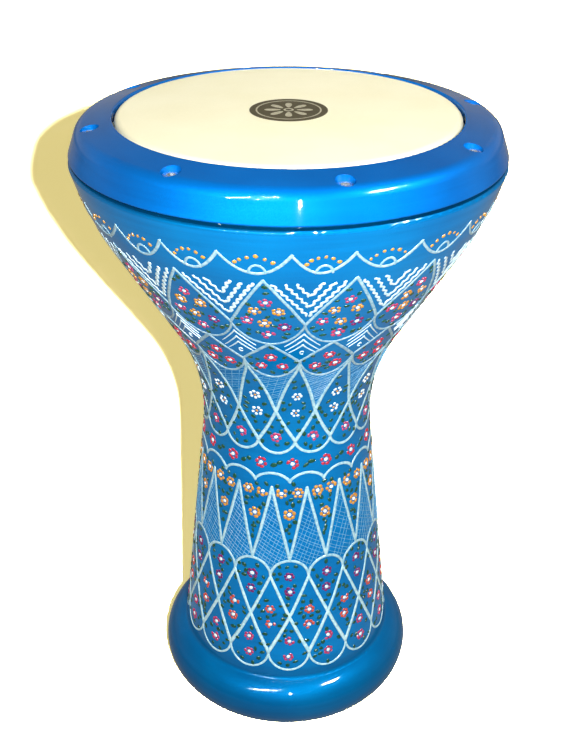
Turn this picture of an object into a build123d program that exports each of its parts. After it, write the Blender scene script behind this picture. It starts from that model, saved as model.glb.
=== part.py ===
"""Goblet drum (darbuka) with a cast body, an external tuning ring and a synthetic head.

Frame: millimetres, +Z up along the axis of the drum, origin on the axis at the plane of the foot rim.
The front of the drum is towards -Y. Angles around the drum start at the front and grow towards +X.
"""
from build123d import *
import os

# ---- overall size ----
HEIGHT = 446.0
HEAD_RADIUS = 108.0
RING_RADIUS = 137.9
SEAM_Z = 422.1
FOOT_RADIUS = 96.0

# ---- cast body ----
WALL = 3.6
SKIRT_RADIUS = 79.8
SKIRT_Z = 38.0
WAIST_CORNER = (55.6, 265.5)
WAIST_ARC = 135.0
BOWL_CORNER = (130.2, 391.0)
BOWL_ARC = 205.0
BODY_TOP_RADIUS = 138.5
BODY_TOP_ROUND = 1.8
SEAM_GAP = 2.2
FOOT_TUBE = 21.0
FOOT_SINK = 0.4
FOOT_WALL = 4.2
FOOT_INNER_RADIUS = 72.8
FOOT_CREASE = 3.0

# ---- shelf and collar that carry the head ----
SPIGOT_RADIUS = 132.2
SHELF_TOP_Z = SEAM_Z + 2.0
SHELF_THICKNESS = 5.0
COLLAR_THICKNESS = 4.6
COLLAR_SLACK = 0.05
CORNER_ROUND = 4.0

# ---- head ----
FILM_THICKNESS = 0.35
FILM_FLARE_Z = HEIGHT - 8.2
FILM_FOOT_Z = HEIGHT - 15.0
FILM_FOOT_RADIUS = 110.7
FILM_FLARE_DROP = 1.0
FILM_BEND = 0.6
HOOP_INNER_RADIUS = 108.4
HOOP_OUTER_RADIUS = 112.8
HOOP_TOP_Z = HEIGHT - 9.6
HOOP_HEIGHT = 7.4
HOOP_WALL = 0.8
RESIN_TOP_DROP = 0.8
RESIN_SLACK = 0.15
LABEL_RADIUS = 24.5
LABEL_THICKNESS = 0.15

# ---- tuning ring ----
LIP_RADIUS = 109.3
LIP_TOP_Z = HEIGHT - 0.2
LIP_ROUND = 0.8
SHOULDER_CORNER = (131.5, HEIGHT - 4.8)
SHOULDER_ROUND = 9.0
RING_FOOT_ROUND = 0.8
RING_WALL = 3.8
RIB_INNER_RADIUS = 111.2
RIB_OUTER_RADIUS = 114.6
HOOP_CLEARANCE_RADIUS = 113.3

# ---- tuning screws: M6 socket heads, washers and threaded inserts ----
SCREW_COUNT = 8
SCREW_CIRCLE = 123.2
FIRST_SCREW_DEG = 14.0
HEAD_TOP_Z = HEIGHT - 5.2
SCREW_HEAD_RADIUS = 5.0
SCREW_HEAD_HEIGHT = 6.0
SCREW_HEAD_EDGE = 0.5
SCREW_RADIUS = 2.95
SCREW_LENGTH = 20.0
SCREW_POINT = 0.8
HEX_ACROSS_FLATS = 5.0
HEX_DEPTH = 3.2
WASHER_RADIUS = 5.5
WASHER_HOLE_RADIUS = 3.2
WASHER_THICKNESS = 1.6
COUNTERBORE_RADIUS = 5.8
CLEARANCE_HOLE_RADIUS = 3.3
BOSS_RADIUS = 8.8
BOSS_FLOOR = 4.0
INSERT_RADIUS = 4.5
INSERT_BORE_RADIUS = 3.0
INSERT_LENGTH = 9.0
INSERT_FLANGE_RADIUS = 5.4
INSERT_FLANGE_THICKNESS = 0.8
SHELF_BOSS_RADIUS = 7.5
SHELF_BOSS_DEPTH = 6.5

# how far a cutting shape runs past the face that it opens
OVERCUT = 1.0

WASHER_TOP_Z = HEAD_TOP_Z - SCREW_HEAD_HEIGHT
COUNTERBORE_Z = WASHER_TOP_Z - WASHER_THICKNESS
COLLAR_RADIUS = HEAD_RADIUS - FILM_THICKNESS - COLLAR_SLACK
COLLAR_TOP_Z = HEIGHT - FILM_THICKNESS
BODY_TOP_Z = SEAM_Z - SEAM_GAP / 2
RING_BOTTOM_Z = SEAM_Z + SEAM_GAP / 2
FOOT_CENTRE = (FOOT_RADIUS - FOOT_TUBE, FOOT_TUBE - FOOT_SINK)


def block(r0, r1, z0, z1):
    """Rectangle in the half plane of radius and height."""
    return Pos((r0 + r1) / 2, (z0 + z1) / 2) * Rectangle(r1 - r0, z1 - z0)


def turned(section):
    """Solid of revolution about Z from a section drawn as (radius, height)."""
    return revolve(Plane.XZ * section, Axis.Z)


def tube(radius, z0, z1):
    """Upright cylinder on the axis, from z0 to z1."""
    return Pos(0, 0, z0) * Cylinder(radius, z1 - z0, align=(Align.CENTER, Align.CENTER, Align.MIN))


def screw_places():
    """Location of each tuning screw's axis at height zero, turned to face outwards."""
    step = 360 / SCREW_COUNT
    places = []
    for index in range(SCREW_COUNT):
        angle = FIRST_SCREW_DEG + index * step - 90
        places.append(Rot(0, 0, angle) * Pos(SCREW_CIRCLE, 0, 0))
    return places


def body_wall():
    """Section of the one-thickness wall from the skirt through the waist to the bowl's level top edge."""
    outline = FilletPolyline(
        (SKIRT_RADIUS, SKIRT_Z),
        WAIST_CORNER,
        BOWL_CORNER,
        (BODY_TOP_RADIUS, BODY_TOP_Z),
        radius=[WAIST_ARC, BOWL_ARC],
    )
    wall = make_face(offset(outline, WALL, side=Side.LEFT))
    wall -= block(0, BODY_TOP_RADIUS + OVERCUT, BODY_TOP_Z, HEIGHT)
    top_corner = wall.vertices().sort_by_distance((BODY_TOP_RADIUS, BODY_TOP_Z))[0]
    return fillet(top_corner, BODY_TOP_ROUND)


def foot_section():
    """Section of the hollow rolled foot: a bulge with a flat rim, open towards the inside."""
    bulge = Pos(*FOOT_CENTRE) * (Circle(FOOT_TUBE) - Circle(FOOT_TUBE - FOOT_WALL))
    below_floor = block(0, FOOT_RADIUS + OVERCUT, -FOOT_TUBE, 0)
    inside = block(0, FOOT_INNER_RADIUS, -FOOT_TUBE, HEIGHT)
    under_skirt = block(0, SKIRT_RADIUS - WALL, SKIRT_Z / 2, HEIGHT)
    return bulge - below_floor - inside - under_skirt


def shelf_section():
    """Section of the spigot, the shelf that the screws pull against, and the collar with the bearing edge."""
    shelf_bottom_z = SHELF_TOP_Z - SHELF_THICKNESS
    collar_inner = COLLAR_RADIUS - COLLAR_THICKNESS
    shelf = block(collar_inner, SPIGOT_RADIUS, shelf_bottom_z, SHELF_TOP_Z)
    ledge = block(SPIGOT_RADIUS - WALL, BODY_TOP_RADIUS - WALL / 2, BODY_TOP_Z - WALL, BODY_TOP_Z)
    collar = block(collar_inner, COLLAR_RADIUS, shelf_bottom_z, COLLAR_TOP_Z)
    top_corners = collar.vertices().group_by(Axis.Y)[-1].sort_by(Axis.X)
    collar = fillet(top_corners[-1], CORNER_ROUND - FILM_THICKNESS)
    return shelf + ledge + collar


def make_shell():
    """Cast body: foot, skirt, waist, bowl, shelf with eight bosses, and collar."""
    section = body_wall() + foot_section()
    crease = section.vertices().sort_by_distance((SKIRT_RADIUS, 2 * FOOT_TUBE))[0]
    section = fillet(crease, FOOT_CREASE)
    shell = turned(section + shelf_section())
    boss_bottom_z = SHELF_TOP_Z - SHELF_THICKNESS - SHELF_BOSS_DEPTH
    for place in screw_places():
        shell += place * tube(SHELF_BOSS_RADIUS, boss_bottom_z, SHELF_TOP_Z)
    for place in screw_places():
        shell -= place * tube(INSERT_RADIUS, boss_bottom_z - OVERCUT, SHELF_TOP_Z + OVERCUT)
        seat_z = SHELF_TOP_Z - INSERT_FLANGE_THICKNESS
        shell -= place * tube(INSERT_FLANGE_RADIUS, seat_z, SHELF_TOP_Z + OVERCUT)
    return shell


def make_insert():
    """Threaded steel insert, flush with the shelf, at the axis of the first place."""
    bottom_z = SHELF_TOP_Z - INSERT_LENGTH
    body = tube(INSERT_RADIUS, bottom_z, SHELF_TOP_Z)
    body += tube(INSERT_FLANGE_RADIUS, SHELF_TOP_Z - INSERT_FLANGE_THICKNESS, SHELF_TOP_Z)
    return body - tube(INSERT_BORE_RADIUS, bottom_z - OVERCUT, SHELF_TOP_Z + OVERCUT)


def make_screw():
    """M6 socket head cap screw standing on its washer, with its thread as a plain shank."""
    head = tube(SCREW_HEAD_RADIUS, WASHER_TOP_Z, HEAD_TOP_Z)
    head = chamfer(head.edges().group_by(Axis.Z)[-1], SCREW_HEAD_EDGE)
    shank = tube(SCREW_RADIUS, WASHER_TOP_Z - SCREW_LENGTH, WASHER_TOP_Z)
    shank = chamfer(shank.edges().group_by(Axis.Z)[0], SCREW_POINT)
    socket_sketch = RegularPolygon(HEX_ACROSS_FLATS / 2, 6, major_radius=False)
    socket = extrude(Pos(0, 0, HEAD_TOP_Z) * socket_sketch, -HEX_DEPTH)
    return head + shank - socket


def make_washer():
    """Flat washer between the screw head and the counterbore's floor."""
    disc = tube(WASHER_RADIUS, COUNTERBORE_Z, WASHER_TOP_Z)
    return disc - tube(WASHER_HOLE_RADIUS, COUNTERBORE_Z - OVERCUT, WASHER_TOP_Z + OVERCUT)


def ring_block():
    """Section under the ring's sloping shoulder, round corner and leaning wall, too long at both ends."""
    inner = LIP_RADIUS - 2 * RING_WALL
    below = RING_BOTTOM_Z - 2 * RING_WALL
    outside = FilletPolyline(
        (LIP_RADIUS, LIP_TOP_Z),
        SHOULDER_CORNER,
        (RING_RADIUS, RING_BOTTOM_Z),
        radius=SHOULDER_ROUND,
    )
    rest = Polyline(
        (RING_RADIUS, RING_BOTTOM_Z),
        (RING_RADIUS, below),
        (inner, below),
        (inner, LIP_TOP_Z),
        (LIP_RADIUS, LIP_TOP_Z),
    )
    return make_face(outside + rest)


def ring_area():
    """Section under the ring's outline, cut off at the lip and at the seam."""
    return ring_block() & block(LIP_RADIUS, RING_RADIUS, RING_BOTTOM_Z, HEIGHT)


def ring_skin():
    """Section of the ring's shoulder, wall and lip, with the rib that presses on the hoop."""
    skin = ring_area() - offset(ring_block(), -RING_WALL)
    lip_corner = skin.vertices().sort_by(Axis.Y)[-1]
    skin = fillet(lip_corner, LIP_ROUND)
    foot_corner = skin.vertices().sort_by(Axis.X)[-1]
    skin = fillet(foot_corner, RING_FOOT_ROUND)
    rib = block(RIB_INNER_RADIUS, RIB_OUTER_RADIUS, HOOP_TOP_Z, LIP_TOP_Z - RING_WALL / 2)
    return skin + rib


def make_ring():
    """Tuning ring: turned channel with eight counterbored bosses."""
    ring = turned(ring_skin())
    outer = turned(ring_area())
    boss_bottom_z = COUNTERBORE_Z - BOSS_FLOOR
    hoop_space = tube(HOOP_CLEARANCE_RADIUS, boss_bottom_z, HOOP_TOP_Z)
    for place in screw_places():
        boss = place * tube(BOSS_RADIUS, boss_bottom_z, HEIGHT)
        ring += (boss & outer) - hoop_space
    for place in screw_places():
        ring -= place * tube(COUNTERBORE_RADIUS, COUNTERBORE_Z, HEIGHT)
        ring -= place * tube(CLEARANCE_HOLE_RADIUS, boss_bottom_z - OVERCUT, HEIGHT)
    return ring


def make_hoop():
    """Aluminium hoop: a U channel that opens upwards and holds the film's edge."""
    bottom_z = HOOP_TOP_Z - HOOP_HEIGHT
    outside = block(HOOP_INNER_RADIUS, HOOP_OUTER_RADIUS, bottom_z, HOOP_TOP_Z)
    channel = block(
        HOOP_INNER_RADIUS + HOOP_WALL,
        HOOP_OUTER_RADIUS - HOOP_WALL,
        bottom_z + HOOP_WALL,
        HOOP_TOP_Z + OVERCUT,
    )
    return turned(outside - channel)


def film_section():
    """Section of the head film: flat top, rounded over the edge, flared into the hoop."""
    outside = FilletPolyline(
        (0, HEIGHT),
        (HEAD_RADIUS, HEIGHT),
        (HEAD_RADIUS, FILM_FLARE_Z),
        (FILM_FOOT_RADIUS, FILM_FLARE_Z - FILM_FLARE_DROP),
        (FILM_FOOT_RADIUS, FILM_FOOT_Z),
        radius=[CORNER_ROUND, FILM_BEND, FILM_BEND],
    )
    return make_face(offset(outside, FILM_THICKNESS, side=Side.RIGHT))


def make_resin():
    """Ring of resin in the hoop's channel, with the groove that the film's edge is set in."""
    bottom_z = HOOP_TOP_Z - HOOP_HEIGHT + HOOP_WALL
    top_z = HOOP_TOP_Z - RESIN_TOP_DROP
    fill = block(HOOP_INNER_RADIUS + HOOP_WALL, HOOP_OUTER_RADIUS - HOOP_WALL, bottom_z, top_z)
    groove_inner = FILM_FOOT_RADIUS - FILM_THICKNESS - RESIN_SLACK
    groove_outer = FILM_FOOT_RADIUS + RESIN_SLACK
    groove = block(groove_inner, groove_outer, FILM_FOOT_Z - RESIN_SLACK, top_z + OVERCUT)
    return turned(fill - groove)


def make_label():
    """Thin round disc in the middle of the head."""
    return tube(LABEL_RADIUS, HEIGHT, HEIGHT + LABEL_THICKNESS)


def make_parts():
    """Every sub-part by node name."""
    parts = {
        "shell": make_shell(),
        "tuning_ring": make_ring(),
        "head_film": turned(film_section()),
        "head_hoop": make_hoop(),
        "head_resin": make_resin(),
        "head_label": make_label(),
    }
    screw = make_screw()
    washer = make_washer()
    insert = make_insert()
    for number, place in enumerate(screw_places(), start=1):
        parts[f"tuning_screw_{number}"] = place * screw
        parts[f"screw_washer_{number}"] = place * washer
        parts[f"screw_insert_{number}"] = place * insert
    return parts


os.makedirs("parts", exist_ok=True)
for node, solid in make_parts().items():
    export_step(solid, f"parts/{node}.step")
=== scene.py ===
import math
import random

import bpy
import numpy as np
from mathutils import Matrix, Vector
from mathutils.bvhtree import BVHTree


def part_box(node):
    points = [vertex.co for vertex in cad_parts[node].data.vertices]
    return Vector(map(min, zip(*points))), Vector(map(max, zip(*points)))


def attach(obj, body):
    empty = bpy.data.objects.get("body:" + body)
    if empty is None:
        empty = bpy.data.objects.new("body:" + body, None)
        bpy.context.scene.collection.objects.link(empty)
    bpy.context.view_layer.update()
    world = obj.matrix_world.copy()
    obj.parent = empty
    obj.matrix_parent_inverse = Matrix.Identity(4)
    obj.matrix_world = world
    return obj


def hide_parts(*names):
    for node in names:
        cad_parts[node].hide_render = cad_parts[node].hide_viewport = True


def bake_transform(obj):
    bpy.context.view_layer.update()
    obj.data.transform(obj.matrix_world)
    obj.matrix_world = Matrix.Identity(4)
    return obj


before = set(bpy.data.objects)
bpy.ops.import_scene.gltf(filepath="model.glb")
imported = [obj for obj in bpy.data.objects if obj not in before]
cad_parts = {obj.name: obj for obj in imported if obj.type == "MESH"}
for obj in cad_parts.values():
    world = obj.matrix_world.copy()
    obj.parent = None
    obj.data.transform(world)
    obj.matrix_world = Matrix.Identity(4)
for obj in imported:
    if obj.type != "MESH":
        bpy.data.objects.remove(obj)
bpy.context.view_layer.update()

MM = 0.001
RNG = random.Random(20)

# ---- stage, in metres ----
FLASH = (0.067, -0.76, 0.68)
DRUM_MIDDLE = (0, 0, 0.33)
FLOOR_RADIUS = 14.0

# ---- ornament: enamel thickness and how far its rim is sunk into the lacquer, in mm ----
SINK = 0.12
LINE_RISE = 0.32
DAB_RISE = 0.42
HATCH_RISE = 0.12
ARC_POWER = 0.6

# ---- painted shade on the body's blue by height in metres: darker on the foot, the waist and in the seam under the ring, standing in for light falloff and the shade in the gap ----
BODY_PAINTED_SHADE = (
    (0.040, 0.50),
    (0.060, 0.95),
    (0.16, 0.86),
    (0.27, 0.78),
    (0.34, 0.90),
    (0.4196, 0.93),
    (0.4202, 0.22),
)

# ---- head film, in metres ----
HEAD_RADIUS = 108.0 * MM
FILM_ROUND = 4.0 * MM
FILM_THICK = 0.35 * MM
FILM_FLARE_Z = 0.4378
FILM_FLARE_DROP = 1.0 * MM
FILM_EYE = 0.5 * MM
FILM_FLAT_MARGIN = 0.4 * MM
FILM_STEPS = 192

# ---- printing on the label: ink height in metres, sizes as shares of the label's radius ----
INK = 0.03 * MM
OUTER_RING = (0.80, 0.84)
INNER_RING = (0.08, 0.13)
PETALS = 8
PETAL_REACH = (0.20, 0.62)
PETAL_HALF_WIDTH = 0.085

# ---- ornament: repeats round the drum and the angle of the first one ----
SWAG_COUNT, SWAG_PHASE = 22, 0.8
UPPER_COUNT, UPPER_PHASE = 15, 5.5
ROSE_COUNT, ROSE_PHASE = 17, 4.4
LOWER_COUNT, LOWER_PHASE = 16, 1.9
SWAG_STEP = 360 / SWAG_COUNT
UPPER_STEP = 360 / UPPER_COUNT
ROSE_STEP = 360 / ROSE_COUNT
LOWER_STEP = 360 / LOWER_COUNT


# ------------------------------------------------------------------ the wall that the ornament follows

def wall_profile(node, z_low, z_high, directions=36):
    """Heights, radii and slopes of a turned node's outer wall in mm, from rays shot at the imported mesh."""
    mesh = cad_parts[node].data
    tree = BVHTree.FromPolygons([v.co for v in mesh.vertices], [p.vertices for p in mesh.polygons])
    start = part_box(node)[1].x + 0.02
    heights = np.arange(z_low, z_high + 0.5)
    radii = []
    for z in heights:
        best = 0.0
        for k in range(directions):
            a = 2 * math.pi * k / directions
            out = Vector((math.cos(a), math.sin(a), 0))
            hit = tree.ray_cast(out * start + Vector((0, 0, z * MM)), -out)[0]
            if hit:
                best = max(best, math.hypot(hit.x, hit.y))
        radii.append(best / MM)
    radii = np.convolve(np.pad(radii, 2, mode="edge"), np.ones(5) / 5, mode="valid")
    return heights, radii, np.gradient(radii, heights)


WALL_Z, WALL_R, WALL_SLOPE = wall_profile("shell", 44, 418)


def wall_point(phi, z, lift=0.0):
    """Points on the wall in metres, lifted along its normal. phi, z and lift may be arrays."""
    r = np.interp(z, WALL_Z, WALL_R)
    slope = np.interp(z, WALL_Z, WALL_SLOPE)
    along = lift / np.sqrt(1 + slope * slope)
    radius, height, a = r + along, z - slope * along, np.radians(phi)
    return np.stack([radius * np.sin(a), -radius * np.cos(a), height], -1) * MM


def wall_shift(phi, z, right, up):
    """(phi, z) moved along the wall by right and up, in mm."""
    slope = np.interp(z, WALL_Z, WALL_SLOPE)
    radius = np.interp(z, WALL_Z, WALL_R)
    return phi + np.degrees(right / radius), z + up / np.sqrt(1 + slope * slope)


# ------------------------------------------------------------------ raised enamel

class Enamel:
    """Gathers the strokes and dabs of one colour into one mesh of closed, domed shapes."""

    # share of the width and share of the rise at the five points across a stroke
    ACROSS = ((-0.5, None), (-0.3, 0.75), (0.0, 1.0), (0.3, 0.75), (0.5, None))

    def __init__(self, name, material):
        self.name = name
        self.material = material
        self.points = []
        self.faces = []
        self.count = 0

    def add(self, points, faces):
        self.points.append(points)
        self.faces.extend([tuple(i + self.count for i in face) for face in faces])
        self.count += len(points)

    def stroke(self, phi, z, width, rise=LINE_RISE, ends=(0.55, 0.55)):
        """A brush stroke through the points (phi, z). width is a number or one per point; ends narrow it."""
        phi, z = np.asarray(phi, float), np.asarray(z, float)
        width = np.ones(len(phi)) * width
        radius = np.interp(z, WALL_Z, WALL_R)
        slope = np.interp(z, WALL_Z, WALL_SLOPE)
        dx = np.gradient(np.radians(phi)) * radius
        dy = np.gradient(z) * np.sqrt(1 + slope * slope)
        size = np.hypot(dx, dy) + 1e-9
        dx, dy = dx / size, dy / size
        head = wall_shift(phi[0], z[0], -dx[0] * width[0] * 0.4, -dy[0] * width[0] * 0.4)
        tail = wall_shift(phi[-1], z[-1], dx[-1] * width[-1] * 0.4, dy[-1] * width[-1] * 0.4)
        phi = np.concatenate([[head[0]], phi, [tail[0]]])
        z = np.concatenate([[head[1]], z, [tail[1]]])
        width = np.concatenate([[width[0] * ends[0]], width, [width[-1] * ends[1]]])
        dx, dy = np.pad(dx, 1, mode="edge"), np.pad(dy, 1, mode="edge")
        rows = []
        for share, height in self.ACROSS:
            p, h = wall_shift(phi, z, -dy * width * share, dx * width * share)
            rows.append(wall_point(p, h, -SINK if height is None else height * rise))
        points = np.stack(rows, 1).reshape(-1, 3)
        n, across, faces = len(phi), len(self.ACROSS), []
        for i in range(n - 1):
            a, b = i * across, (i + 1) * across
            for k in range(across - 1):
                faces.append((a + k, b + k, b + k + 1, a + k + 1))
            faces.append((a + across - 1, b + across - 1, b, a))
        faces.append(tuple(range(across)))
        faces.append(tuple(reversed(range((n - 1) * across, n * across))))
        self.add(points, faces)

    def dab(self, phi, z, length, width, turn=0.0, rise=DAB_RISE, point=0.0, sides=9):
        """A domed dab: an ellipse turned by turn degrees from the horizontal; point narrows its two ends."""
        t = np.arange(sides) * 2 * np.pi / sides
        narrow = 1 - point * np.cos(t) ** 4
        x, y = np.cos(t) * length / 2, np.sin(t) * width / 2 * narrow
        c, s = math.cos(math.radians(turn)), math.sin(math.radians(turn))
        rings = []
        for share, lift in ((1.0, -SINK), (0.68, rise * 0.8)):
            p, h = wall_shift(phi, z, (x * c - y * s) * share, (x * s + y * c) * share)
            rings.append(wall_point(p, h, lift))
        top = wall_point(np.array([phi]), np.array([z]), rise)
        faces = []
        for i in range(sides):
            j = (i + 1) % sides
            faces.append((i, j, sides + j, sides + i))
            faces.append((sides + i, sides + j, 2 * sides))
        faces.append(tuple(reversed(range(sides))))
        self.add(np.concatenate([*rings, top]), faces)

    def build(self):
        mesh = bpy.data.meshes.new(self.name)
        mesh.from_pydata(np.concatenate(self.points).tolist(), [], self.faces)
        mesh.polygons.foreach_set("use_smooth", [True] * len(mesh.polygons))
        mesh.validate()
        mesh.update()
        mesh.materials.append(self.material)
        piece = bpy.data.objects.new(self.name, mesh)
        bpy.context.scene.collection.objects.link(piece)
        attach(piece, "drum")
        return piece


# ------------------------------------------------------------------ materials

def new_material(name):
    """(material, its node tree, its Principled shader)."""
    material = bpy.data.materials.new(name)
    material.use_nodes = True
    tree = material.node_tree
    return material, tree, tree.nodes["Principled BSDF"]


def node(tree, kind, **inputs):
    """A node with the given values or links on its inputs, named as in the panel with _ for a space."""
    made = tree.nodes.new(kind)
    for key, value in inputs.items():
        socket = made.inputs[key.replace("_", " ")]
        if isinstance(value, bpy.types.NodeSocket):
            tree.links.new(value, socket)
        else:
            socket.default_value = value
    return made


def place(tree, scale=(1, 1, 1)):
    """Object coordinates, in metres, stretched by scale."""
    coords = tree.nodes.new("ShaderNodeTexCoord")
    return node(tree, "ShaderNodeMapping", Vector=coords.outputs["Object"], Scale=scale).outputs[0]


def noise(tree, scale, detail=3.0, roughness=0.5, stretch=(1, 1, 1)):
    made = node(tree, "ShaderNodeTexNoise", Vector=place(tree, stretch), Scale=scale, Detail=detail,
                Roughness=roughness)
    return made.outputs["Fac"]


def ramp(tree, factor, stops):
    """Colour ramp from a list of (position, colour or grey value)."""
    made = node(tree, "ShaderNodeValToRGB", Fac=factor)
    elements = made.color_ramp.elements
    while len(elements) < len(stops):
        elements.new(0.5)
    for element, (position, colour) in zip(elements, stops):
        element.position = position
        element.color = (*colour, 1) if isinstance(colour, tuple) else (colour, colour, colour, 1)
    return made.outputs["Color"]


def mix(tree, factor, a, b, blend="MIX"):
    made = tree.nodes.new("ShaderNodeMix")
    made.data_type = "RGBA"
    made.blend_type = blend
    for socket, value in zip((made.inputs[0], made.inputs[6], made.inputs[7]), (factor, a, b)):
        if isinstance(value, bpy.types.NodeSocket):
            tree.links.new(value, socket)
        else:
            socket.default_value = (*value, 1) if isinstance(value, tuple) else value
    return made.outputs[2]


def bump(tree, height, strength, distance, normal=None):
    made = node(tree, "ShaderNodeBump", Height=height, Strength=strength, Distance=distance)
    if normal:
        tree.links.new(normal, made.inputs["Normal"])
    return made.outputs["Normal"]


def math_node(tree, operation, *values):
    made = tree.nodes.new("ShaderNodeMath")
    made.operation = operation
    for socket, value in zip(made.inputs, values):
        if isinstance(value, bpy.types.NodeSocket):
            tree.links.new(value, socket)
        else:
            socket.default_value = value
    return made.outputs[0]


def flakes(tree, scale, amount):
    """Normals that differ from flake to flake, for the sparkle of a metallic paint."""
    cells = node(tree, "ShaderNodeTexVoronoi", Vector=place(tree), Scale=scale)
    centred = node(tree, "ShaderNodeVectorMath", Vector=cells.outputs["Color"])
    centred.operation = "SUBTRACT"
    centred.inputs[1].default_value = (0.5, 0.5, 0.5)
    spread = tree.nodes.new("ShaderNodeVectorMath")
    spread.operation = "SCALE"
    tree.links.new(centred.outputs[0], spread.inputs[0])
    spread.inputs["Scale"].default_value = amount
    geometry = tree.nodes.new("ShaderNodeNewGeometry")
    tilted = tree.nodes.new("ShaderNodeVectorMath")
    tree.links.new(geometry.outputs["Normal"], tilted.inputs[0])
    tree.links.new(spread.outputs[0], tilted.inputs[1])
    unit = tree.nodes.new("ShaderNodeVectorMath")
    unit.operation = "NORMALIZE"
    tree.links.new(tilted.outputs[0], unit.inputs[0])
    return unit.outputs[0]


def clear_coat(shader, weight=1.0, roughness=0.04, ior=1.4):
    shader.inputs["Coat Weight"].default_value = weight
    shader.inputs["Coat Roughness"].default_value = roughness
    shader.inputs["Coat IOR"].default_value = ior


def lacquer(name, colour, deep, shade_by_height=((0.0, 1.0), (1.0, 1.0)), metallic=0.22):
    """Blue metallic lacquer under a clear coat, with soft cloudiness, turning marks and flake sparkle.

    Painted shade by height: (height in metres, factor that darkens the blue there) from the bottom up, standing
    in for light falloff and the shade in gaps.
    """
    material, tree, shader = new_material(name)
    cloud = ramp(tree, noise(tree, 14.0, 2.0), [(0.36, deep), (0.62, colour)])
    turned = noise(tree, 240.0, 2.0, 0.6, stretch=(0.05, 0.05, 1.0))
    streaks = ramp(tree, turned, [(0.3, 0.86), (0.7, 1.0)])
    height = node(tree, "ShaderNodeSeparateXYZ", Vector=place(tree)).outputs["Z"]
    # painted shade: the blue multiplied by a ramp over height, standing in for light falloff and the shade in
    # the seam gap
    painted_shade = ramp(tree, height, shade_by_height)
    coat = mix(tree, 1.0, mix(tree, 1.0, cloud, streaks, "MULTIPLY"), painted_shade, "MULTIPLY")
    tree.links.new(coat, shader.inputs["Base Color"])
    rough = node(tree, "ShaderNodeMapRange", Value=noise(tree, 40.0), To_Min=0.44, To_Max=0.56)
    tree.links.new(rough.outputs[0], shader.inputs["Roughness"])
    tree.links.new(flakes(tree, 2600.0, 0.10), shader.inputs["Normal"])
    orange_peel = bump(tree, noise(tree, 90.0, 1.0), 0.03, 0.001)
    dust = bump(tree, noise(tree, 1100.0, 2.0), 0.022, 0.0002, orange_peel)
    tree.links.new(dust, shader.inputs["Coat Normal"])
    shader.inputs["Metallic"].default_value = metallic
    shader.inputs["Specular IOR Level"].default_value = 0.0
    clear_coat(shader, 1.0, 0.03, 1.27)
    return material


def enamel_paint(name, colour, thin, rough=0.25):
    """Brushed enamel: full colour where the brush was loaded, thinner towards the lacquer's tint elsewhere."""
    material, tree, shader = new_material(name)
    load = noise(tree, 420.0, 4.0, 0.6)
    tree.links.new(ramp(tree, load, [(0.38, thin), (0.6, colour)]), shader.inputs["Base Color"])
    tree.links.new(bump(tree, noise(tree, 1800.0, 2.0), 0.25, 0.0002), shader.inputs["Normal"])
    shader.inputs["Roughness"].default_value = rough
    clear_coat(shader, 0.3, 0.10)
    return material


def film_material():
    """Cream coated polyester: matt, faintly mottled, with a fine grain."""
    material, tree, shader = new_material("head_cream")
    mottle = ramp(tree, noise(tree, 22.0, 5.0), [(0.35, (0.90, 0.85, 0.58)), (0.65, (0.93, 0.885, 0.63))])
    fine = ramp(tree, noise(tree, 900.0, 2.0), [(0.3, 0.965), (0.7, 1.0)])
    tree.links.new(mix(tree, 1.0, mottle, fine, "MULTIPLY"), shader.inputs["Base Color"])
    tree.links.new(bump(tree, noise(tree, 1600.0, 3.0), 0.18, 0.0002), shader.inputs["Normal"])
    shader.inputs["Roughness"].default_value = 0.42
    return material


def metal(name, colour, rough, scale, stretch=(1, 1, 1), worn=0.75):
    """Bare metal with fine machining marks and slightly darker patches."""
    material, tree, shader = new_material(name)
    marks = noise(tree, scale, 4.0, 0.6, stretch)
    dark = tuple(c * worn for c in colour)
    tree.links.new(ramp(tree, marks, [(0.3, dark), (0.7, colour)]), shader.inputs["Base Color"])
    spread = node(tree, "ShaderNodeMapRange", Value=marks, To_Min=rough * 0.7, To_Max=rough * 1.4)
    tree.links.new(spread.outputs[0], shader.inputs["Roughness"])
    tree.links.new(bump(tree, marks, 0.2, 0.0002), shader.inputs["Normal"])
    shader.inputs["Metallic"].default_value = 1.0
    return material


def resin_material():
    material, tree, shader = new_material("resin_amber")
    cloud = ramp(tree, noise(tree, 160.0, 4.0), [(0.35, (0.32, 0.20, 0.06)), (0.7, (0.55, 0.40, 0.16))])
    tree.links.new(cloud, shader.inputs["Base Color"])
    tree.links.new(bump(tree, noise(tree, 500.0), 0.3, 0.0003), shader.inputs["Normal"])
    shader.inputs["Roughness"].default_value = 0.3
    return material


def label_material():
    """Dark olive printing ink on film."""
    material, tree, shader = new_material("label_ink")
    ink = ramp(tree, noise(tree, 700.0, 3.0), [(0.3, (0.052, 0.042, 0.018)), (0.7, (0.078, 0.064, 0.030))])
    tree.links.new(ink, shader.inputs["Base Color"])
    tree.links.new(bump(tree, noise(tree, 1600.0, 3.0), 0.15, 0.0002), shader.inputs["Normal"])
    shader.inputs["Roughness"].default_value = 0.45
    shader.inputs["Specular IOR Level"].default_value = 0.2
    return material


def dress(names, material):
    """Gives CAD nodes their material."""
    for name in names:
        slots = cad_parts[name].material_slots
        if not slots:
            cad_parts[name].data.materials.append(material)
        for s in slots:
            s.material = material


# ------------------------------------------------------------------ ornament: shared shapes

def wobble(amount):
    return RNG.uniform(-amount, amount)


def hand(values, amount):
    """Values with a slow hand tremble added."""
    n = len(values)
    t = np.linspace(0, 1, n)
    a, b = RNG.uniform(0, 6.28), RNG.uniform(0, 6.28)
    return np.asarray(values, float) + amount * (0.6 * np.sin(6.28 * t + a) + 0.4 * np.sin(15 * t + b))


def segment(a, b, n=12):
    """Straight run from (phi, z) a to b as two arrays."""
    return np.linspace(a[0], b[0], n), np.linspace(a[1], b[1], n)


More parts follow.
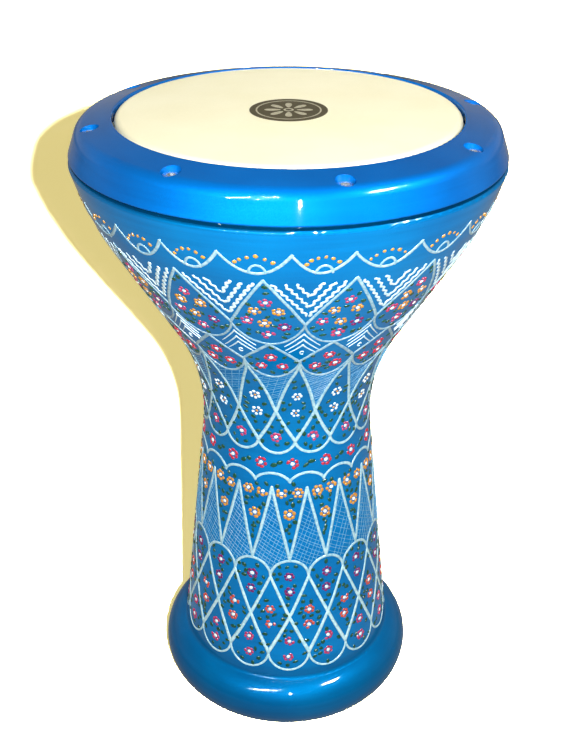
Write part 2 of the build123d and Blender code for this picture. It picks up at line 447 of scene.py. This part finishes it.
def through(points, n=10):
    """Smooth curve through (phi, z) points."""
    p = [np.array(q, float) for q in points]
    p = [2 * p[0] - p[1], *p, 2 * p[-1] - p[-2]]
    out = []
    for i in range(1, len(p) - 2):
        for t in np.arange(n) / n:
            a = 2 * p[i]
            b = p[i + 1] - p[i - 1]
            c = 2 * p[i - 1] - 5 * p[i] + 4 * p[i + 1] - p[i + 2]
            d = -p[i - 1] + 3 * p[i] - 3 * p[i + 1] + p[i + 2]
            out.append((a + b * t + c * t * t + d * t ** 3) / 2)
    out.append(p[-2])
    out = np.array(out)
    return out[:, 0], out[:, 1]


def arch(phi, half, z_end, rise, power=ARC_POWER, n=26):
    """Arch (or hanging arc, with a negative rise) centred at phi, from z_end up to z_end + rise."""
    t = np.sin(np.linspace(-np.pi / 2, np.pi / 2, n))
    return phi + half * t, z_end + rise * np.clip(1 - t * t, 0, 1) ** power


def flower(petals, centres, phi, z, size=9.0, count=6, eye=0.36, petal=(0.37, 0.29)):
    """A ring of petal dabs round a centre. petal is a dab's length and width as shares of the size."""
    start = RNG.uniform(0, 360)
    size *= 1 + wobble(0.08)
    for k in range(count):
        if RNG.random() < 0.04:
            continue
        a = start + 360 * k / count + wobble(7)
        ring = size * (0.335 + wobble(0.02))
        p, h = wall_shift(phi, z, ring * math.cos(math.radians(a)), ring * math.sin(math.radians(a)))
        petals.dab(p, h, size * petal[0] * (1 + wobble(0.15)), size * petal[1], a + 90 + wobble(15))
    p, h = wall_shift(phi, z, wobble(0.25), wobble(0.25))
    centres.dab(p, h, size * eye, size * eye * 0.86, wobble(40), DAB_RISE * 1.25)


def leaf(leaves, phi, z, turn, length=4.4, width=3.2):
    leaves.dab(phi, z, length * (1 + wobble(0.22)), width * (1 + wobble(0.2)), turn + wobble(20), point=0.3)


def inside(polygon, x, y):
    odd = False
    for (x0, y0), (x1, y1) in zip(polygon, polygon[1:] + polygon[:1]):
        if (y0 > y) != (y1 > y) and x < x0 + (y - y0) / (y1 - y0) * (x1 - x0):
            odd = not odd
    return odd


def scatter(leaves, polygon, flowers, count, gap=5.2, apart=3.6, margin=2.2):
    """Leaf dabs inside a polygon of (phi, z), clear of its edge, of the flowers and of each other."""
    low, high = np.min(polygon, 0), np.max(polygon, 0)
    scale = math.radians(1) * np.interp((low[1] + high[1]) / 2, WALL_Z, WALL_R)
    placed = []
    for _ in range(count * 40):
        if len(placed) == count:
            break
        phi, z = RNG.uniform(low[0], high[0]), RNG.uniform(low[1], high[1])
        if any(math.hypot((phi - f[0]) * scale, z - f[1]) < gap for f in flowers):
            continue
        if any(math.hypot((phi - f[0]) * scale, z - f[1]) < apart for f in placed):
            continue
        around = [(phi + margin / scale * math.cos(a), z + margin * math.sin(a)) for a in (0, 1.57, 3.14, 4.71)]
        if all(inside(polygon, *q) for q in around):
            placed.append((phi, z))
            near = min(flowers, key=lambda f: math.hypot((phi - f[0]) * scale, z - f[1]))
            turn = math.degrees(math.atan2(z - near[1], (phi - near[0]) * scale))
            leaf(leaves, phi, z, turn + RNG.choice((0, 0, 70, -70)))


def hatch(pen, polygon, angle, spacing, sag=0.0, keep=0.94, width=0.42):
    """Fine pen lines clipped to a polygon of (phi, z), at an angle from the horizontal, sagging by sag."""
    low, high = np.min(polygon, 0), np.max(polygon, 0)
    middle = (low + high) / 2
    scale = math.radians(1) * np.interp(middle[1], WALL_Z, WALL_R)
    reach = math.hypot((high[0] - low[0]) * scale, high[1] - low[1]) / 2
    along = np.array([math.cos(math.radians(angle)), math.sin(math.radians(angle))])
    side = np.array([-along[1], along[0]])
    for offset in np.arange(-reach, reach, spacing):
        if RNG.random() > keep:
            continue
        bend = wobble(0.5) - sag
        run = []
        for t in np.arange(-reach, reach, 1.6):
            x, y = along * t + side * (offset + bend * (1 - (t / reach) ** 2))
            phi, z = middle[0] + x / scale, middle[1] + y
            if inside(polygon, phi, z):
                run.append((phi, z))
            elif len(run) > 1:
                pen.stroke(*np.array(run).T, width, HATCH_RISE)
                run = []
        if len(run) > 1:
            pen.stroke(*np.array(run).T, width, HATCH_RISE)


def outline(*curves):
    """One polygon of (phi, z) from curves laid end to end."""
    return [tuple(p) for phi, z in curves for p in zip(phi, z)]


def flipped(curve):
    return curve[0][::-1], curve[1][::-1]


# ------------------------------------------------------------------ ornament: the bands from top to bottom

def swags(kit):
    """Hanging swags under the rim, each with a dotted arc over a small bridge."""
    dots = ((-4.3, 399.6), (-3.2, 402.0), (-1.5, 403.7), (0.4, 404.4), (2.3, 403.1), (4.0, 400.4))
    cusps = [SWAG_PHASE + SWAG_STEP * k - 1.3 * math.sin(k * math.pi / 2) for k in range(SWAG_COUNT)]
    for cusp, after in zip(cusps, cusps[1:] + [cusps[0] + 360]):
        centre, half = (cusp + after) / 2, (after - cusp) / 2
        phi, z = arch(centre, half, 405.6, -13.2 + wobble(0.6), power=1.0)
        kit["lines_top"].stroke(phi, hand(z, 0.25), np.linspace(1.9, 2.7, len(phi)))
        phi, z = arch(centre + 0.4, 2.1, 393.2, 5.2)
        kit["lines_top"].stroke(phi, z, 1.9)
        for offset, height in dots:
            size = RNG.uniform(2.1, 3.0)
            kit["dots"].dab(centre + offset * half / 8, height + wobble(0.3), size * 1.15, size, wobble(60))


def wave(pen, a, b, width, swing=0.66, pitch=4.8):
    """Wavy brush line from (phi, z) a to b."""
    scale = math.radians(1) * np.interp((a[1] + b[1]) / 2, WALL_Z, WALL_R)
    length = math.hypot((b[0] - a[0]) * scale, b[1] - a[1])
    n = max(8, int(length / 0.8))
    t = np.linspace(0, 1, n)
    swing_now = swing * np.sin(t * length / pitch * 2 * np.pi + RNG.uniform(0, 6.28))
    side = np.array([-(b[1] - a[1]), (b[0] - a[0]) * scale]) / length
    phi = a[0] + (b[0] - a[0]) * t + side[0] * swing_now / scale
    z = a[1] + (b[1] - a[1]) * t + side[1] * swing_now
    pen.stroke(phi, z, width * (1 + 0.2 * np.cos(t * length / pitch * 4 * np.pi)))


def chevrons(kit, phi):
    """Three nested wavy chevrons in the gap between two drops."""
    for left, foot, right in (
        ((-9.6, 384.3), (0.4, 358.4), (9.4, 384.3)),
        ((-6.3, 384.5), (0.4, 366.6), (6.3, 384.2)),
        ((-3.3, 384.8), (0.3, 375.6), (3.4, 385.0)),
    ):
        for arm, side, width in ((left, -0.3, 1.9), (right, 0.4, 2.35)):
            start = (phi + arm[0], arm[1] + wobble(0.5))
            wave(kit["lines_wave"], start, (phi + foot[0] + side, foot[1]), width)


def feathers(kit, phi):
    """Three nested bracket strokes under the meeting point of two drops."""
    t = np.linspace(0, 1, 16)
    for peak, drop, half in ((341.0, 12.0, 6.6), (335.6, 10.5, 6.3), (330.4, 7.5, 5.0)):
        for side in (-1, 1):
            fall = drop * (0.62 * np.sin(t * np.pi / 2) ** 0.8 + 0.38 * t * t)
            taper = np.linspace(1.3, 0.6, 16)
            kit["lines_wave"].stroke(phi + side * half * t, peak - fall, taper, ends=(0.5, 0.2))
    curl = np.linspace(0.6, 5.2, 10)
    kit["lines_wave"].stroke(phi + 0.75 * np.cos(curl), 322.6 + 1.5 * np.sin(curl), 0.9)


def drops(kit):
    """The big pointed drops of the bowl, filled with seven flowers."""
    pattern = (
        ("petals_pink", 0.0, 369.7), ("petals_orange", -3.5, 361.2), ("petals_orange", 3.5, 361.2),
        ("petals_pink", -6.4, 352.2), ("petals_orange", -0.6, 350.6), ("petals_violet", 5.6, 348.2),
        ("petals_pink", -0.2, 339.8),
    )
    half = UPPER_STEP / 2
    for k in range(UPPER_COUNT):
        left = UPPER_PHASE + UPPER_STEP * k
        phi = left + half
        top = (phi + wobble(0.25), 386.8 + wobble(0.6))
        sides = segment((left, 349.4), top), segment(top, (left + UPPER_STEP, 349.4))
        for phis, zs in sides:
            kit["lines_top"].stroke(hand(phis, 0.10), hand(zs, 0.2), 2.4)
        low = arch(phi, half, 349.4, -18.3 + wobble(0.4))
        kit["lines_mid"].stroke(low[0], hand(low[1], 0.2), 1.9)
        flowers = [(phi + dx + wobble(0.3), z + wobble(0.5)) for _, dx, z in pattern]
        for (petals, _, _), (fx, fz) in zip(pattern, flowers):
            flower(kit[petals], kit["eyes_white"], fx, fz, 9.2, RNG.choice((5, 6)))
        cell = outline(*sides, flipped(low))
        scatter(kit["leaves"], cell, flowers, 18, gap=5.6, apart=4.0)
        chevrons(kit, left)
        feathers(kit, left)


def shields(kit):
    """The wide pointed cells at the bottom of the bowl, with three red flowers each."""
    half = UPPER_STEP / 2
    for k in range(UPPER_COUNT):
        left = UPPER_PHASE + UPPER_STEP * k - 0.7
        phi = left + half + 0.4
        top = (phi, 330.6)
        sides = segment((left, 313.4), top), segment(top, (left + UPPER_STEP, 313.4))
        for phis, zs in sides:
            kit["lines_mid"].stroke(hand(phis, 0.12), hand(zs, 0.15), np.linspace(2.2, 2.8, 12))
        low = arch(phi, half, 313.4, -16.3)
        kit["lines_mid"].stroke(low[0], hand(low[1], 0.2), 2.0)
        spots = ((0.2, 317.4), (-4.9, 308.0), (4.5, 308.0))
        flowers = [(phi + dx + wobble(0.3), z + wobble(0.4)) for dx, z in spots]
        for fx, fz in flowers:
            flower(kit["petals_red"], kit["eyes_white"], fx, fz, 9.0)
        scatter(kit["leaves"], outline(*sides, flipped(low)), flowers, 9, gap=5.3, apart=3.8, margin=1.8)


def waist_lattice(kit):
    """Crossing lines round the waist: diamonds with white flowers over rounded cells with a pink one."""
    step, half = UPPER_STEP, UPPER_STEP / 2
    path = ((0.0, 311.0), (0.9, 303.0), (4.9, 289.5), (8.7, 276.0), (12.0, 263.8), (17.2, 251.0), (24.0, 238.6))
    for k in range(UPPER_COUNT):
        top = UPPER_PHASE + step * k - 0.3
        for side in (-1, 1):
            phi, z = through([(top + side * dx, h) for dx, h in path])
            kit["lines_neck"].stroke(hand(phi, 0.1), z, np.linspace(2.2, 2.8, len(phi)))
        cross = top + half
        low = arch(cross, half, 238.6, -9.6)
        kit["lines_neck"].stroke(low[0], low[1], 2.3)
        # diamond under the junction
        flowers = [(top + wobble(0.4), 277.2 + wobble(0.5)), (top + wobble(0.4), 262.4 + wobble(0.5))]
        for fx, fz in flowers:
            flower(kit["petals_white"], kit["eyes_orange"], fx, fz, 8.4, 6, 0.25, petal=(0.31, 0.28))
        corners = ((0, 306), (4.4, 291), (12, 263.8), (0, 238.6), (-12, 263.8), (-4.4, 291))
        diamond = [(top + dx, z) for dx, z in corners]
        scatter(kit["leaves"], diamond, flowers, 13, gap=5.9, apart=4.0, margin=1.9)
        # rounded cell under the crossing
        bud = (cross + wobble(0.4), 241.6 + wobble(0.4))
        flower(kit["petals_pink"], kit["eyes_white"], *bud, 8.8, 6, 0.38)
        left, right = (cross - half, 238.6), (cross + half, 238.6)
        cell = outline(segment(left, (cross, 263.5)), segment((cross, 263.5), right), flipped(low))
        scatter(kit["leaves"], cell, [bud], 8, gap=5.6, apart=4.0, margin=1.7)
        # hatched triangle over the crossing
        left = through([(top + dx, h) for dx, h in path[:5]])
        right = through([(top + step - dx, h) for dx, h in path[:5]])
        roof = arch(cross - 0.3, half, 311.5, -14.6)
        field = outline(left, flipped(right), flipped(roof))
        hatch(kit["pen"], field, 20, 1.9)
        hatch(kit["pen"], field, 74, 4.6, keep=0.7)


def rose_band(kit):
    """A plain band with single red flowers and pairs of leaves."""
    for k in range(ROSE_COUNT):
        phi = ROSE_PHASE + ROSE_STEP * k + wobble(0.8)
        flower(kit["petals_red"], kit["eyes_white"], phi, 220.4 + wobble(0.6), 9.8)
        for offset, height, turn in ((8.6, 219.4, 25), (12.4, 221.9, 20)):
            leaf(kit["leaves"], phi + offset, height + wobble(0.4), turn, 5.2, 3.4)


def spires(kit):
    """Scalloped line, hatched spires and the flowered wedges between them."""
    half = LOWER_STEP / 2
    for k in range(LOWER_COUNT):
        cusp = LOWER_PHASE + LOWER_STEP * k
        peak = cusp + half
        phi, z = arch(peak, half, 206.9, 6.6 + wobble(0.4), power=0.72)
        kit["lines_neck"].stroke(phi, z, np.linspace(2.0, 2.6, len(phi)))
        tip = (peak + wobble(0.3), 201.6 + wobble(0.8))
        sides = segment((cusp, 145.0), tip), segment(tip, (cusp + LOWER_STEP, 145.0))
        for phis, zs in sides:
            kit["lines_neck"].stroke(hand(phis, 0.1), zs, np.linspace(2.3, 2.6, 12))
        field = outline(*sides, [[cusp + LOWER_STEP - 6, cusp + half, cusp + 6], [141.0, 133.0, 141.0]])
        hatch(kit["pen"], field, -34, 2.7, sag=2.2)
        hatch(kit["pen"], field, 70, 2.9)
        spots = ((-4.8, 198.4), (4.9, 198.2), (0.1, 180.6))
        flowers = [(cusp + dx + wobble(0.4), z + wobble(0.5)) for dx, z in spots]
        for fx, fz in flowers:
            flower(kit["petals_orange"], kit["eyes_white"], fx, fz, 9.2)
        corners = ((-10.6, 205.5), (0, 207.5), (10.6, 205.5), (0.6, 152), (-0.6, 152))
        wedge = [(cusp + dx, z) for dx, z in corners]
        scatter(kit["leaves"], wedge, flowers, 11, gap=5.6, apart=3.9, margin=1.5)
        for height in (171.5, 165.5):
            leaf(kit["leaves"], cusp + wobble(0.5), height + wobble(0.8), 85, 3.6, 2.3)


def foot_lattice(kit):
    """Round-topped lattice above the foot: violet, coral and pink pairs of flowers from top to bottom."""
    step, half = LOWER_STEP, LOWER_STEP / 2
    for k in range(LOWER_COUNT):
        c = LOWER_PHASE + step * k
        roof = arch(c, half, 129.8, 13.7, power=0.5)
        kit["lines_neck"].stroke(*roof, 2.3)
        floor = arch(c - 0.4, half, 64.0, -15.2, power=0.5)
        kit["lines_foot"].stroke(*floor, 2.0)
        for side in (-1, 1):
            phi, z = through([(c + side * half, 129.8), (c, 95.8), (c - side * half - 0.4, 64.0)], 12)
            kit["lines_foot"].stroke(hand(phi, 0.12), z, np.linspace(2.3, 3.1, len(phi)))
        top = [(c - half, 129.8), (c, 95.8), (c + half, 129.8)]
        low = [(c - half, 64.0), (c, 95.8), (c + half, 64.0)]
        between = [(c + half, 129.8), (c + step, 95.8), (c + half, 64.0), (c, 95.8)]
        upper = outline(segment(*top[:2]), segment(*top[1:]), flipped(roof))
        lower = outline(segment(*low[:2]), segment(*low[1:]), flipped(floor))
        rows = (
            ("petals_violet", c, (130.6, 117.0), upper, 10),
            ("petals_coral", c + half, (101.6, 88.3), between, 12),
            ("petals_pink", c, (74.6, 60.9), lower, 9),
        )
        for petals, phi, heights, cell, leaf_count in rows:
            flowers = [(phi + wobble(0.6), z + wobble(0.5)) for z in heights]
            for fx, fz in flowers:
                flower(kit[petals], kit["eyes_white"], fx, fz, 8.8, 6, 0.40)
            scatter(kit["leaves"], cell, flowers, leaf_count, gap=5.4, apart=3.8, margin=1.9)


def paint_ornament():
    """All the enamel, one mesh per colour."""
    mint, mint_thin = (0.46, 0.66, 0.70), (0.24, 0.48, 0.60)
    colours = {
        "lines_top": ((0.42, 0.60, 0.66), (0.20, 0.42, 0.56)),
        "lines_mid": ((0.36, 0.52, 0.58), (0.17, 0.36, 0.50)),
        "lines_neck": (mint, mint_thin),
        "lines_foot": ((0.58, 0.80, 0.82), (0.32, 0.60, 0.70)),
        "lines_wave": ((0.72, 0.86, 0.88), (0.48, 0.70, 0.80)),
        "pen": ((0.18, 0.42, 0.60), (0.06, 0.27, 0.50)),
        "dots": ((0.66, 0.33, 0.04), (0.50, 0.25, 0.05)),
        "petals_orange": ((0.64, 0.28, 0.02), (0.48, 0.20, 0.03)),
        "petals_pink": ((0.52, 0.03, 0.09), (0.36, 0.04, 0.14)),
        "petals_red": ((0.55, 0.015, 0.04), (0.38, 0.02, 0.05)),
        "petals_violet": ((0.20, 0.006, 0.09), (0.12, 0.01, 0.12)),
        "petals_coral": ((0.62, 0.075, 0.03), (0.46, 0.06, 0.04)),
        "petals_white": ((0.82, 0.88, 0.86), (0.60, 0.78, 0.84)),
        "eyes_white": ((0.86, 0.88, 0.84), (0.70, 0.80, 0.84)),
        "eyes_orange": ((0.58, 0.26, 0.03), (0.42, 0.20, 0.05)),
        "leaves": ((0.002, 0.052, 0.022), (0.002, 0.080, 0.050)),
    }
    kit = {}
    for name, (full, thin) in colours.items():
        kit[name] = Enamel(f"enamel_{name}", enamel_paint(f"enamel_{name}", full, thin))
    for band in (swags, drops, shields, waist_lattice, rose_band, spires, foot_lattice):
        band(kit)
    return [pen.build() for pen in kit.values()]


# ------------------------------------------------------------------ head film and label printing

def make_object(name, points, faces, material, smooth=False):
    """A new mesh object in the scene."""
    mesh = bpy.data.meshes.new(name)
    mesh.from_pydata(points, [], faces)
    if smooth:
        mesh.polygons.foreach_set("use_smooth", [True] * len(faces))
    mesh.materials.append(material)
    made = bpy.data.objects.new(name, mesh)
    bpy.context.scene.collection.objects.link(made)
    return made


def film_path(top, foot, flared):
    """The film's outside as (radius, height) from the middle over the rounded edge to the foot in the hoop."""
    edge = HEAD_RADIUS
    arc = [math.radians(90 - 90 * i / 8) for i in range(9)]
    straight = top - FILM_ROUND - FILM_FLARE_Z
    flare_foot = FILM_FLARE_Z - FILM_FLARE_DROP
    path = [(FILM_EYE, top), (edge - FILM_ROUND - FILM_FLAT_MARGIN, top)]
    path += [(edge - FILM_ROUND * (1 - math.cos(a)), top - FILM_ROUND * (1 - math.sin(a))) for a in arc]
    path += [(edge, FILM_FLARE_Z + straight * (1 - i / 8)) for i in range(1, 9)]
    path += [(edge + (flared - edge) * i / 4, FILM_FLARE_Z - FILM_FLARE_DROP * i / 4) for i in range(1, 5)]
    path += [(flared, flare_foot - i * (flare_foot - foot) / 4) for i in range(1, 5)]
    return path


def inner_side(path, thickness):
    """The path moved inwards by the thickness."""
    inner = []
    for i, (r, z) in enumerate(path):
        (r0, z0), (r1, z1) = path[max(i - 1, 0)], path[min(i + 1, len(path) - 1)]
        length = math.hypot(r1 - r0, z1 - z0)
        inner.append((r + (z1 - z0) / length * thickness, z - (r1 - r0) / length * thickness))
    return inner


def make_film():
    """The head film, turned from its section; the CAD film is hidden."""
    low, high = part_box("head_film")
    path = film_path(high[2], low[2], high[0])
    section = path + inner_side(path, FILM_THICK)[::-1]
    points, faces, n = [], [], len(section)
    for i in range(FILM_STEPS):
        angle = 2 * math.pi * i / FILM_STEPS
        points.extend((r * math.cos(angle), r * math.sin(angle), z) for r, z in section)
        a, b = i * n, (i + 1) % FILM_STEPS * n
        faces.extend((a + k, a + k + 1, b + k + 1, b + k) for k in range(n - 1))
    faces.append([i * n for i in range(FILM_STEPS)])
    faces.append([i * n + n - 1 for i in range(FILM_STEPS)][::-1])
    film = make_object("film_skin", points, faces, film_material(), smooth=True)
    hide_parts("head_film")
    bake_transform(film)
    return film


def ink_ring(r_in, r_out, top, steps=96):
    """(points, faces) of a thin flat ring."""
    points, faces = [], []
    for i in range(steps):
        angle = 2 * math.pi * i / steps
        for r, z in ((r_in, top - INK), (r_out, top - INK), (r_out, top + INK), (r_in, top + INK)):
            points.append((r * math.cos(angle), r * math.sin(angle), z))
        a, b = 4 * i, 4 * ((i + 1) % steps)
        faces.extend((a + k, a + (k + 1) % 4, b + (k + 1) % 4, b + k) for k in range(4))
    return points, faces


def ink_petal(angle, near, far, half, top, steps=16):
    """(points, faces) of a thin petal that points outwards at the angle and is widest near its tip."""
    middle, reach = (near + far) / 2, (far - near) / 2
    points = []
    for z in (top - INK, top + INK):
        for i in range(steps):
            t = 2 * math.pi * i / steps
            along = middle + reach * math.cos(t)
            across = half * math.sin(t) * (1 + 0.35 * math.cos(t))
            x = along * math.cos(angle) - across * math.sin(angle)
            y = along * math.sin(angle) + across * math.cos(angle)
            points.append((x, y, z))
    faces = [list(range(steps))[::-1], list(range(steps, 2 * steps))]
    faces += [(k, (k + 1) % steps, steps + (k + 1) % steps, steps + k) for k in range(steps)]
    return points, faces


def print_label():
    """Plain printed rings and an eight-petal rosette, a film of ink on the label."""
    low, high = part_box("head_label")
    top, edge = high[2], (high[0] - low[0]) / 2
    near, far = (share * edge for share in PETAL_REACH)
    shapes = [ink_ring(r_in * edge, r_out * edge, top) for r_in, r_out in (OUTER_RING, INNER_RING)]
    for i in range(PETALS):
        shapes.append(ink_petal(2 * math.pi * i / PETALS, near, far, PETAL_HALF_WIDTH * edge, top))
    points, faces = [], []
    for shape_points, shape_faces in shapes:
        faces += [[len(points) + k for k in face] for face in shape_faces]
        points += shape_points
    ink = enamel_paint("ink_pale", (0.62, 0.58, 0.42), (0.46, 0.42, 0.28), 0.4)
    piece = make_object("label_print", points, faces, ink)
    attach(piece, "drum")


# ------------------------------------------------------------------ floor

def make_floor():
    """Pale paper floor. floor_light makes it white, so its own warm light only shows in the drum's shadow."""
    sides = 48
    angles = [2 * math.pi * i / sides for i in range(sides)]
    rim = [(FLOOR_RADIUS * math.cos(a), FLOOR_RADIUS * math.sin(a), 0) for a in angles]
    faces = [(0, i + 1, (i + 1) % sides + 1) for i in range(sides)]
    material, tree, shader = new_material("floor_paper")
    paper = ramp(tree, noise(tree, 6.0, 4.0), [(0.3, (0.87, 0.75, 0.42)), (0.7, (0.92, 0.80, 0.47))])
    tree.links.new(paper, shader.inputs["Base Color"])
    shader.inputs["Roughness"].default_value = 0.85
    shader.inputs["Specular IOR Level"].default_value = 0.0
    shader.inputs["Emission Color"].default_value = (1.0, 0.845, 0.324, 1)
    shader.inputs["Emission Strength"].default_value = 0.63
    floor = make_object("floor", [(0, 0, 0), *rim], faces, material)
    floor.visible_diffuse = False
    floor.visible_glossy = False
    floor.visible_shadow = False
    return floor


# ------------------------------------------------------------------ light and camera

def area_light(name, position, target, size, power, colour=(1, 1, 1)):
    data = bpy.data.lights.new(name, "AREA")
    data.shape = "RECTANGLE"
    data.size, data.size_y = size
    data.energy = power
    data.color = colour
    light = bpy.data.objects.new(name, data)
    light.location = position
    light.rotation_euler = (Vector(target) - Vector(position)).to_track_quat("-Z", "Y").to_euler()
    bpy.context.scene.collection.objects.link(light)
    return light


def strip_light(name, start, end, width, power):
    """A thin lamp from start to end that only shows as a streak in the lacquer."""
    start, end = Vector(start), Vector(end)
    light = area_light(name, (start + end) / 2, DRUM_MIDDLE, ((end - start).length, width), power)
    facing = (Vector(DRUM_MIDDLE) - light.location).normalized()
    along = (end - start).normalized()
    up = along.cross(facing).normalized()
    along = facing.cross(up)
    light.rotation_euler = Matrix((along, up, -facing)).transposed().to_euler()
    light.visible_diffuse = False
    return light


def light_only(light, targets, state="INCLUDE"):
    """INCLUDE: the light falls on the targets alone. EXCLUDE: on everything but the targets."""
    group = bpy.data.collections.new(light.name)
    for target in targets:
        group.objects.link(target)
    for entry in group.collection_objects:
        entry.light_linking.link_state = state
    light.light_linking.receiver_collection = group


def make_floor_light(floor):
    """A lamp beside the camera for the floor alone, as bright far away as near."""
    lamp = bpy.data.objects.new("floor_light", bpy.data.lights.new("floor_light", "POINT"))
    lamp.location = FLASH
    lamp.data.energy = 1000
    lamp.data.shadow_soft_size = 0.008
    bpy.context.scene.collection.objects.link(lamp)
    lamp.data.use_nodes = True
    tree = lamp.data.node_tree
    falloff = node(tree, "ShaderNodeLightFalloff", Strength=1.0)
    tree.links.new(falloff.outputs["Constant"], tree.nodes["Emission"].inputs["Strength"])
    lamp.visible_glossy = False
    light_only(lamp, [floor])


def make_lights(floor, head):
    """A flash beside the camera, soft lights from behind for the head and the back, streaks for the lacquer."""
    area_light("flash", FLASH, DRUM_MIDDLE, (0.014, 0.075), 12.5)
    softbox = area_light("back_softbox", (0.25, 1.3, 1.4), DRUM_MIDDLE, (0.9, 0.9), 25, (1.0, 0.99, 0.95))
    softbox.visible_glossy = False
    light_only(softbox, head)
    for number, position in enumerate(((-1.0, 0.9, 0.75), (0.9, 1.1, 0.55))):
        fill = area_light(f"back_fill_{number}", position, DRUM_MIDDLE, (0.5, 0.7), 14, (1.0, 0.99, 0.96))
        fill.visible_glossy = False
        light_only(fill, [floor, *head], "EXCLUDE")
    strip_light("left_streak", (-0.39, -0.58, 0.63), (-0.05, -0.57, 0.84), 0.006, 14.0)
    strip_light("right_streak", (0.38, -0.44, 0.82), (0.51, -0.23, 0.83), 0.006, 18.0)
    for number, x in enumerate((-0.16, 0.31)):
        glint = area_light(f"glint_{number}", (x, -0.66, 0.70), DRUM_MIDDLE, (0.010, 0.010), 1.2)
        glint.visible_diffuse = False
    make_floor_light(floor)


def make_world():
    """Soft surroundings: bright and warm behind the drum and near the floor, dim elsewhere."""
    world = bpy.data.worlds.new("studio")
    bpy.context.scene.world = world
    world.use_nodes = True
    tree = world.node_tree
    background = tree.nodes["Background"]
    coords = tree.nodes.new("ShaderNodeTexCoord")
    split = node(tree, "ShaderNodeSeparateXYZ", Vector=coords.outputs["Generated"])
    behind = node(tree, "ShaderNodeMapRange", Value=split.outputs["Y"], From_Min=-0.45, From_Max=0.5)
    half_height = math_node(tree, "MULTIPLY_ADD", split.outputs["Z"], 0.5, 0.5)
    level = ramp(tree, half_height, [(0.46, 0.0), (0.52, 0.46), (0.68, 0.32), (0.86, 0.12), (1.0, 0.10)])
    share = node(tree, "ShaderNodeMapRange", Value=behind.outputs[0], To_Min=0.22, To_Max=1.0)
    from_floor = ramp(tree, half_height, [(0.0, 0.40), (0.42, 0.28), (0.50, 0.0)])
    tint = mix(tree, behind.outputs[0], (1.0, 0.96, 0.88), (1.0, 0.94, 0.78))
    strength = math_node(tree, "MULTIPLY_ADD", level, share.outputs[0], from_floor)
    tree.links.new(mix(tree, 1.0, tint, strength, "MULTIPLY"), background.inputs["Color"])
    plain = node(tree, "ShaderNodeBackground", Color=(1.0, 1.0, 0.98, 1), Strength=1.0)
    path = tree.nodes.new("ShaderNodeLightPath")
    pick = tree.nodes.new("ShaderNodeMixShader")
    tree.links.new(path.outputs["Is Camera Ray"], pick.inputs[0])
    tree.links.new(background.outputs[0], pick.inputs[1])
    tree.links.new(plain.outputs[0], pick.inputs[2])
    tree.links.new(pick.outputs[0], tree.nodes["World Output"].inputs["Surface"])


def make_camera():
    """The photograph's view: in front, looking down at 29.5 degrees."""
    data = bpy.data.cameras.new("camera")
    data.sensor_width = 36.0
    data.lens = 52.41
    data.clip_end = 100
    camera = bpy.data.objects.new("camera", data)
    tilt = Matrix.Rotation(math.radians(90 - 29.47), 4, "X")
    roll = Matrix.Rotation(0.0042, 4, "Z")
    camera.matrix_world = Matrix.Translation((-0.0016, -0.6568, 0.6337)) @ tilt @ roll
    bpy.context.scene.collection.objects.link(camera)
    bpy.context.scene.camera = camera


# ------------------------------------------------------------------ the scene

def main():
    bpy.context.scene.view_settings.view_transform = "Standard"
    make_camera()
    make_world()
    make_lights(make_floor(), [make_film(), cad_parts["head_label"]])
    numbers = range(1, 9)
    # the body lacquer carries painted shade by height: darker on the foot, the waist and in the seam gap
    dress(["shell"], lacquer("lacquer_body", (0.0005, 0.225, 0.58), (0.0005, 0.180, 0.50), BODY_PAINTED_SHADE))
    dress(["tuning_ring"], lacquer("lacquer_ring", (0.0005, 0.125, 0.44), (0.0005, 0.105, 0.39)))
    dress(["head_hoop"], metal("hoop_aluminium", (0.72, 0.73, 0.75), 0.3, 300.0, (0.1, 0.1, 1)))
    dress(["head_resin"], resin_material())
    dress(["head_label"], label_material())
    steel = metal("screw_steel", (0.80, 0.83, 0.86), 0.24, 2500.0, worn=0.55)
    dress([f"tuning_screw_{i}" for i in numbers], steel)
    dress([f"screw_washer_{i}" for i in numbers], metal("washer_steel", (0.70, 0.74, 0.78), 0.24, 1800.0))
    dress([f"screw_insert_{i}" for i in numbers], metal("insert_steel", (0.45, 0.43, 0.38), 0.35, 1500.0))
    print_label()
    paint_ornament()


main()
